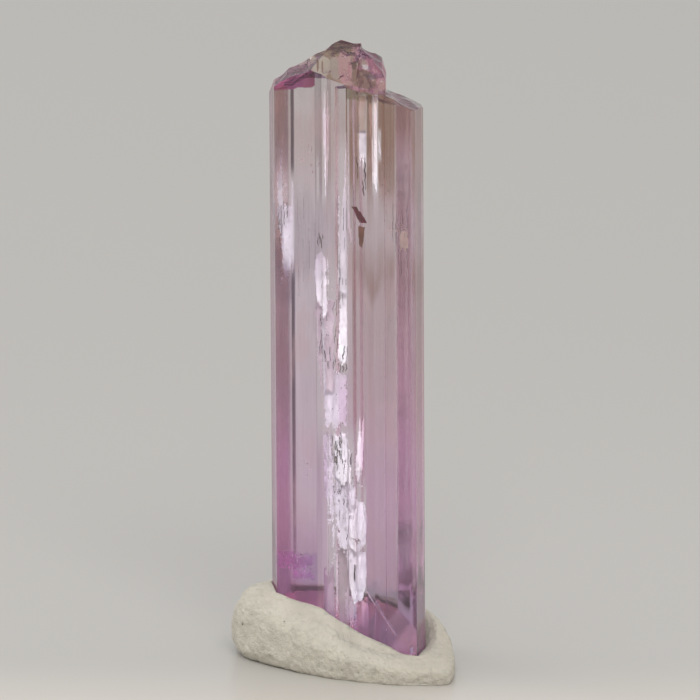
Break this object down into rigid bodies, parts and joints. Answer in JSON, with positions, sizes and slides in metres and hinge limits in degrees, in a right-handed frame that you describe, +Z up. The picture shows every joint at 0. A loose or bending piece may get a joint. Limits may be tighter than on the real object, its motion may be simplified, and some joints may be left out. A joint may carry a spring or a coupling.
{
  "type": "tanzanite crystal on putty",
  "caption": "Slim see-through lilac prism with lengthwise striations and a broken sloping top, standing upright in a small lump of pale mineral putty.",
  "frame": {"origin": "on the surface that the putty rests on, under the middle of the whole object's outline in plan", "axes": "+Z up along the crystal, -Y towards the viewer of the wide striated side, +X to that viewer's right"},
  "size_m": [0.0106, 0.0086, 0.0308],
  "materials": {
    "crystal": "natural polished prism faces with lengthwise striations, see-through lilac to brownish, broken glassy top",
    "putty": "matt off-white mineral putty, kneaded, with small pits and dents"
  },
  "bodies": {
    "root": {"tanzanite_crystal": "crystal", "putty_base": "putty"}
  },
  "joints": []
}
